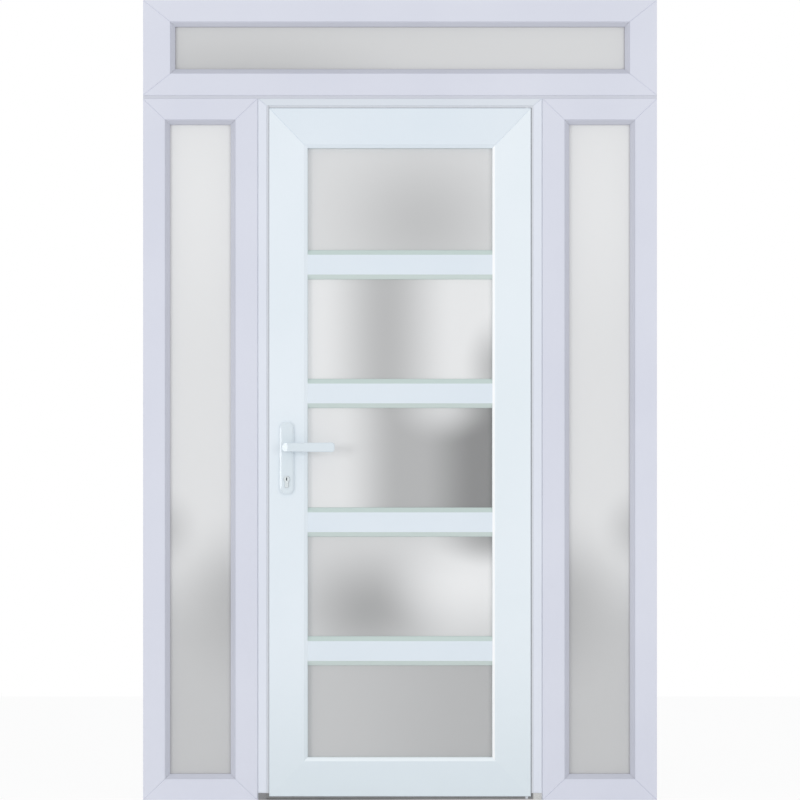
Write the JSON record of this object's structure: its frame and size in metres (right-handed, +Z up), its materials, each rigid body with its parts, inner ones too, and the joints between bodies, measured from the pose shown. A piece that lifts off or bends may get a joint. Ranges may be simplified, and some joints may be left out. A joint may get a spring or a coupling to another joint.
{
  "type": "door with sidelights and transom light",
  "caption": "White plastic entrance door: a glazed leaf that swings on pivots, with a lever handle, between fixed frosted sidelights and under a fixed frosted transom light.",
  "frame": {"origin": "on the floor, under the middle of the doorway, at the middle of the frame's depth", "axes": "+X to the right seen from outside, +Y inwards through the door, +Z up"},
  "size_m": [1.484, 0.158, 2.31],
  "materials": {
    "white_profile": "satin white",
    "white_bead": "satin white",
    "coupler_plastic": "matt white",
    "leaf_white": "satin white",
    "frosted_glass": "frosted",
    "threshold_metal": "mill",
    "handle_white": "gloss white",
    "lock_metal": "satin"
  },
  "bodies": {
    "frame": {"transom_top_rail": "white_profile", "transom_bottom_rail": "white_profile", "transom_left_stile": "white_profile", "transom_right_stile": "white_profile", "left_sidelight_top_rail": "white_profile", "left_sidelight_bottom_rail": "white_profile", "left_sidelight_outer_stile": "white_profile", "left_sidelight_inner_stile": "white_profile", "right_sidelight_top_rail": "white_profile", "right_sidelight_bottom_rail": "white_profile", "right_sidelight_outer_stile": "white_profile", "right_sidelight_inner_stile": "white_profile", "door_left_jamb": "white_profile", "door_right_jamb": "white_profile", "door_head": "white_profile", "transom_beads": "white_bead", "left_sidelight_beads": "white_bead", "right_sidelight_beads": "white_bead", "left_coupler": "coupler_plastic", "right_coupler": "coupler_plastic", "head_coupler": "coupler_plastic", "transom_glass": "frosted_glass", "left_sidelight_glass": "frosted_glass", "right_sidelight_glass": "frosted_glass", "threshold": "threshold_metal", "threshold_end_blocks": "threshold_metal", "strike_plate": "lock_metal", "top_pivot": "lock_metal", "bottom_pivot": "lock_metal"},
    "leaf": {"leaf_left_stile": "leaf_white", "leaf_right_stile": "leaf_white", "leaf_top_rail": "leaf_white", "leaf_bottom_rail": "leaf_white", "leaf_bars": "leaf_white", "leaf_rear_beads": "white_bead", "leaf_panes": "frosted_glass", "outer_backplate": "handle_white", "inner_backplate": "handle_white", "lock_cylinder": "lock_metal", "lock_faceplate": "lock_metal"},
    "lever": {"outer_lever": "handle_white", "inner_lever": "handle_white", "spindle": "lock_metal"}
  },
  "joints": [
    {"name": "door_swing", "type": "hinge", "parent": "frame", "child": "leaf", "pos_m": [0.366, -0.029, 0], "axis": [0, 0, 1], "range_deg": [0, 100]},
    {"name": "lever_turn", "type": "hinge", "parent": "leaf", "child": "lever", "pos_m": [-0.327, 0, 1.019], "axis": [0, 1, 0], "range_deg": [0, 40], "stiffness_Nm_per_rad": 1, "springref_deg": -34.38}
  ]
}
